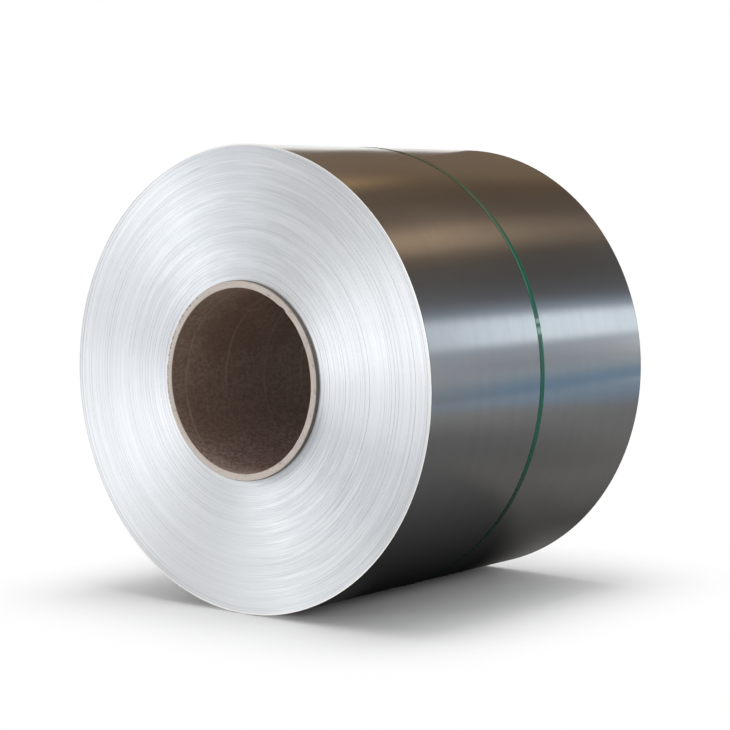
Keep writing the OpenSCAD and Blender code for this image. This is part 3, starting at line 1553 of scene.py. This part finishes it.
    def end_cards(self) -> None:
        """Grey cards across the arch's two openings, which keep the coil's ends from washing out."""
        m = Shade("end_card_tones", self.sizes.axis_z)
        tone = m.x.math("ABSOLUTE").ramp(*self.end_card_span, self.end_card_tone, 1.0)
        tone = tone + (tone * -1.0 + self.back_card_tone) * m.y.ramp(-1.0, 1.0)
        x, y = self.arch_r, self.arch_half - self.end_card_inset
        low, top = 0.01, self.sizes.axis_z + self.arch_r
        outline = ((-x, low), (x, low), (x, top), (-x, top))
        corners = [Vector((side_x, side_y, z)) for side_y in (-y, y) for side_x, z in outline]
        self.card("reflected_end_cards", corners, [(0, 1, 2, 3), (4, 5, 6, 7)], m.glow(m.grey(tone)))

    def floor(self) -> None:
        """A pale floor that keeps the coil's shadow and turns plain white further out."""
        m = Shade("pale_floor", self.sizes.axis_z)
        paint = m.node("ShaderNodeBsdfDiffuse", Color=self.floor_colour)
        glow = m.node("ShaderNodeEmission", Color=(1.0, 1.0, 1.0), Strength=1.0)
        beside, before = (
            (wire.math("ABSOLUTE") - half).math("MAXIMUM", 0.0)
            for wire, half in zip((m.x, m.y), self.shadow_half)
        )
        away = (beside * beside + before * before).math("SQRT").ramp(0.0, self.shadow_reach)
        both = m.node("ShaderNodeMixShader", Fac=away * seen_directly(m.tree))
        for place, shader in ((1, paint), (2, glow)):
            m.tree.links.new(shader.outputs[0], both.inputs[place])
        rim = [math.tau * step / self.floor_sides for step in range(self.floor_sides)]
        points = [Vector((self.floor_r * math.cos(a), self.floor_r * math.sin(a), 0.0)) for a in rim]
        floor = mesh_object("studio_floor", points, [tuple(range(self.floor_sides))])
        floor.data.materials.append(m.surface(both))

    def world(self) -> None:
        """Soft white light from all round, and a white background."""
        world = bpy.data.worlds.new("studio_light")
        world.use_nodes = True
        tree = world.node_tree
        background = next(node for node in tree.nodes if node.type == "BACKGROUND")
        background.inputs["Color"].default_value = (1.0, 1.0, 1.0, 1.0)
        strength = seen_directly(tree) * (1.0 - self.room_light) + self.room_light
        plug(tree, strength, background.inputs["Strength"])
        bpy.context.scene.world = world

    def set_up(self) -> None:
        """Builds the whole stage."""
        self.world()
        self.floor()
        self.arch()
        self.floor_card()
        self.end_cards()
        middle = Vector((0.0, 0.0, self.sizes.axis_z))
        for lamp in self.lamps:
            lamp.make(middle)


def seen_directly(tree: bpy.types.NodeTree) -> Wire:
    """1 for what the camera, a reflection or glass sees, and 0 for what only lights something.

    Args:
        tree: the tree to write it in.

    Returns:
        The test's value.
    """
    path = tree.nodes.new("ShaderNodeLightPath")
    kinds = [Wire(tree, path.outputs[f"Is {kind} Ray"]) for kind in ("Camera", "Glossy", "Transmission")]
    return kinds[0].math("MAXIMUM", kinds[1]).math("MAXIMUM", kinds[2])


@dataclass(frozen=True)
class ViewPoint:
    """Where the coil is looked at from: its front end and its right side, from a little above."""

    place: Place = (3.734, -4.657, 1.142)
    looks_along: Place = (-0.6214, 0.7792, -0.0816)
    lens_mm: float = 101.3
    sensor_mm: float = 36.0

    def set_up(self) -> None:
        """Makes the camera the scene's own."""
        data = bpy.data.cameras.new("view")
        data.lens, data.sensor_width = self.lens_mm, self.sensor_mm
        camera = bpy.data.objects.new("view", data)
        camera.location = self.place
        camera.rotation_euler = Vector(self.looks_along).to_track_quat("-Z", "Y").to_euler()
        scene = bpy.context.scene
        scene.collection.objects.link(camera)
        scene.camera = camera
        scene.view_settings.view_transform = "Standard"


def main() -> None:
    """Builds the coil, its stage and its camera."""
    logging.basicConfig(level=logging.INFO, format="%(message)s")
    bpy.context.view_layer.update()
    ViewPoint().set_up()
    sizes = CoilSizes.measure()
    for part in (WoundStrip(sizes), PaperCore(sizes), GirthStrap(sizes)):
        part.dress()
    Studio(sizes).set_up()


if __name__ == "__main__":
    main()
